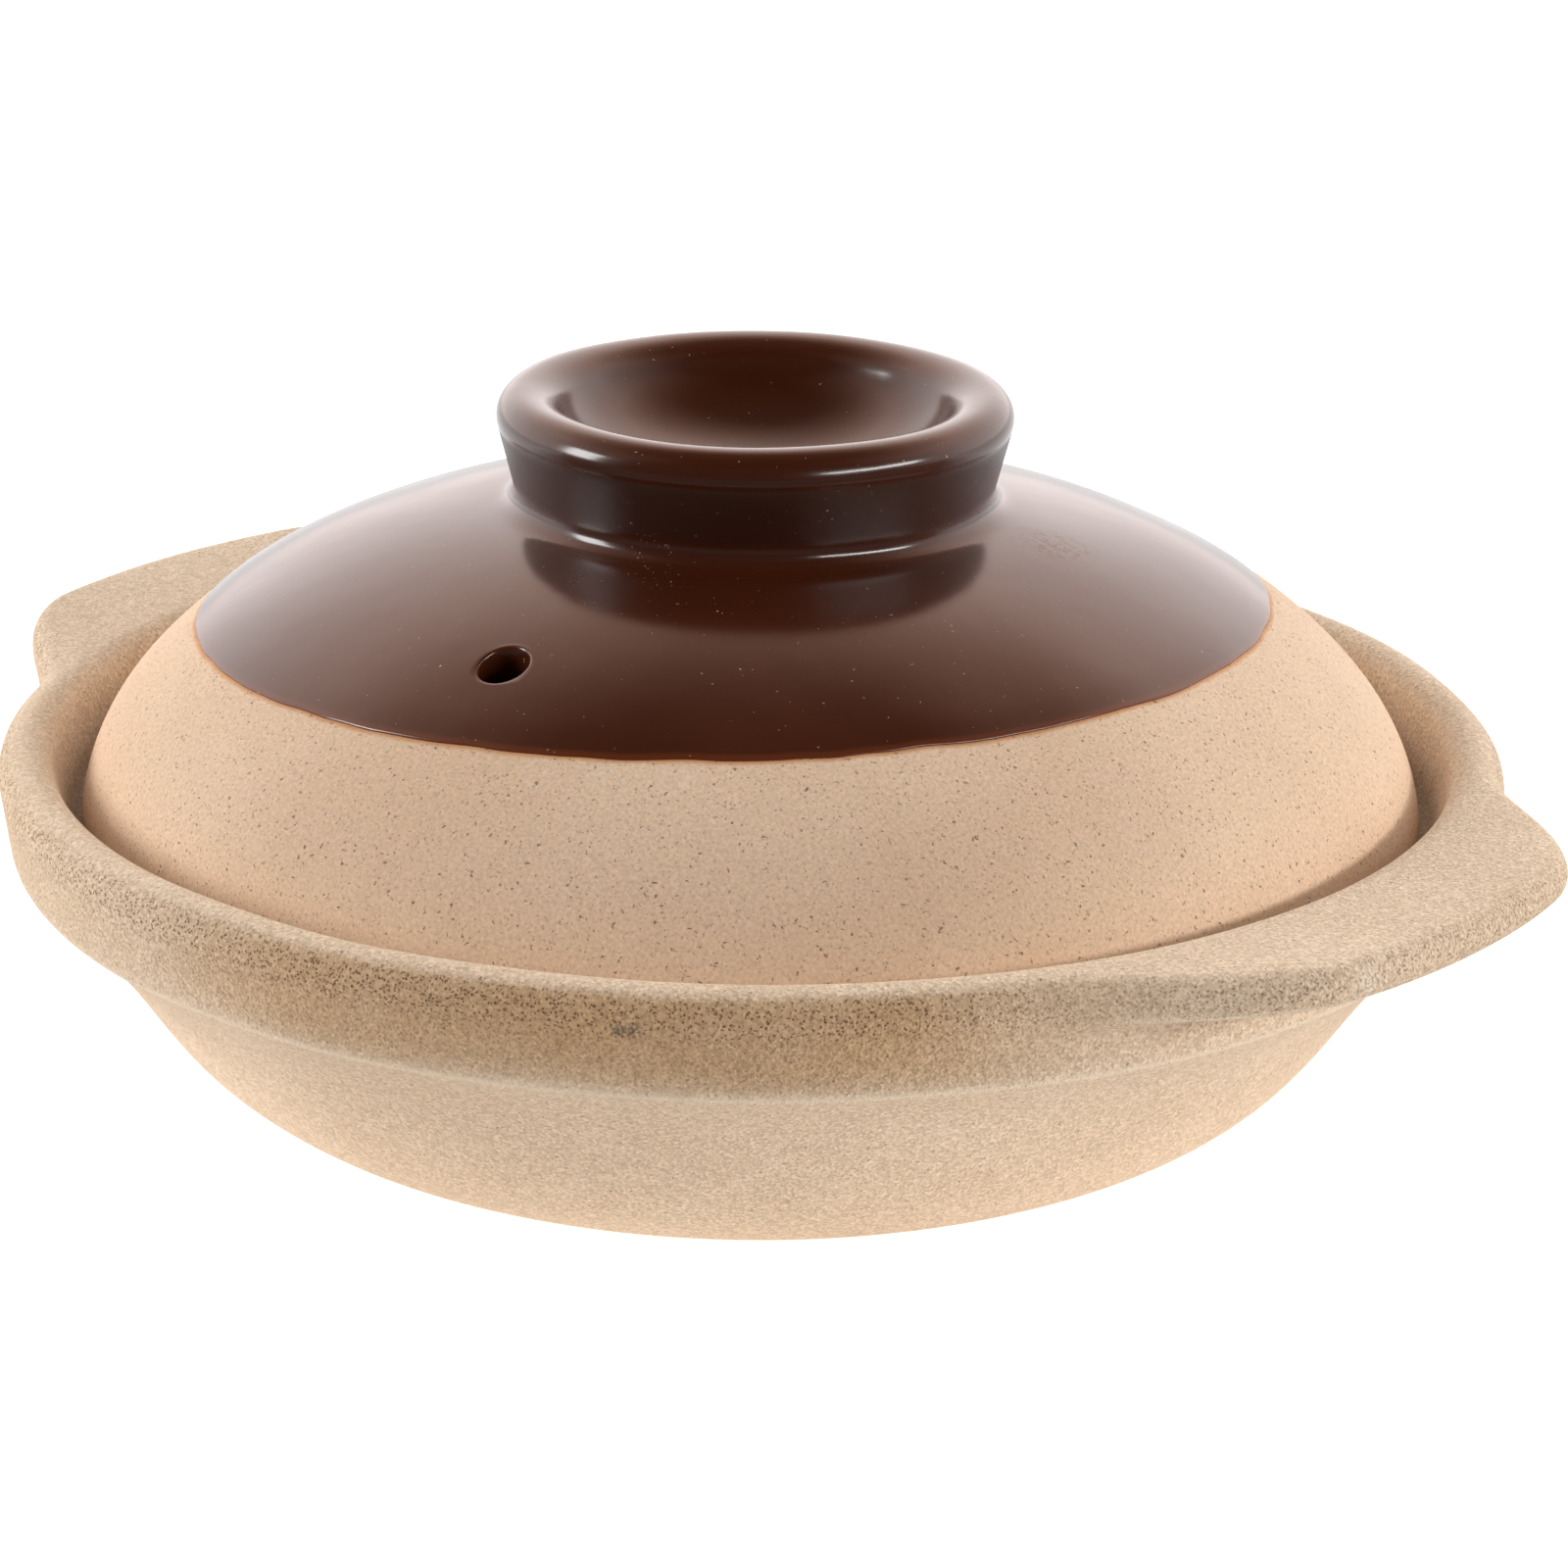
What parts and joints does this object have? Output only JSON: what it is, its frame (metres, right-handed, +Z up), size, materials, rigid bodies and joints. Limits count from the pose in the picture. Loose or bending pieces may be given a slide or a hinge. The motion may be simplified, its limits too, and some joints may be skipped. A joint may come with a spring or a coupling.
{
  "type": "lidded earthenware cooking pot",
  "caption": "Wide shallow clay cooking pot with flared bowl, side lugs drawn out of the rim and a domed brown-glazed lid with dished ring knob and steam hole.",
  "frame": {"origin": "middle of the flat base, on the table", "axes": "+Z up along the pot's axis, +X along the line through the two lugs"},
  "size_m": [0.2518, 0.22, 0.1061],
  "materials": {
    "sandy_clay": "unglazed, sandy and speckled",
    "inner_glaze": "glossy brown glaze",
    "smooth_clay": "unglazed, smooth with fine dark specks",
    "brown_glaze": "glossy dark brown glaze with pinholes"
  },
  "bodies": {
    "pot_body": {"pot": "sandy_clay", "pot_glaze": "inner_glaze"},
    "lid_body": {"lid": "smooth_clay", "lid_glaze": "brown_glaze"}
  },
  "joints": [
    {"name": "lid_lift", "type": "slide", "parent": "pot_body", "child": "lid_body", "axis": [0, 0, 1], "range_m": [0, 0.12]}
  ]
}
